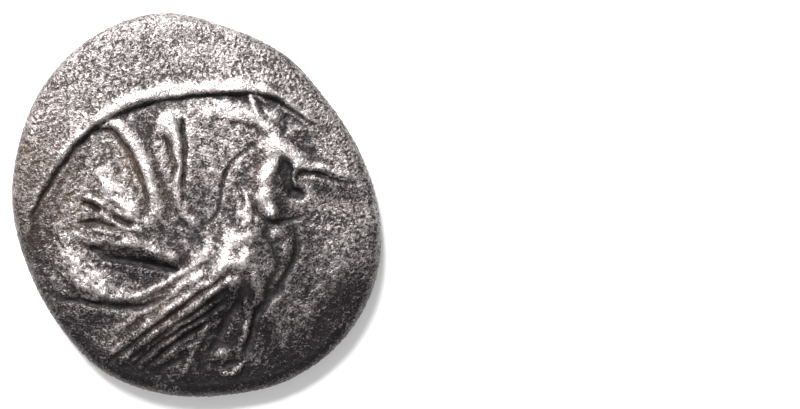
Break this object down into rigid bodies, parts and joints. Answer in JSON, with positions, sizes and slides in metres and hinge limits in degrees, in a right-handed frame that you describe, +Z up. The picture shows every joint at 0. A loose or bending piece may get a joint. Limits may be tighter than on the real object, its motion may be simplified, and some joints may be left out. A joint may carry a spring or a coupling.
{
  "type": "struck silver coin",
  "caption": "Small thick struck silver coin with an irregular round outline: a standing cock in relief above, a sunk square with sunk sails below.",
  "frame": {"origin": "middle of the coin's outline, on the plane that its punched side lies on", "axes": "+Z up out of the side with the bird, +Y towards the top of the bird's picture, +X to the side that the bird faces"},
  "size_m": [0.0108, 0.0114, 0.0016],
  "materials": {
    "silver": "old granular silver, bright on the high points, toned grey to black in the recesses, with a brown deposit in places"
  },
  "bodies": {
    "root": {"litra_coin": "silver"}
  },
  "joints": []
}
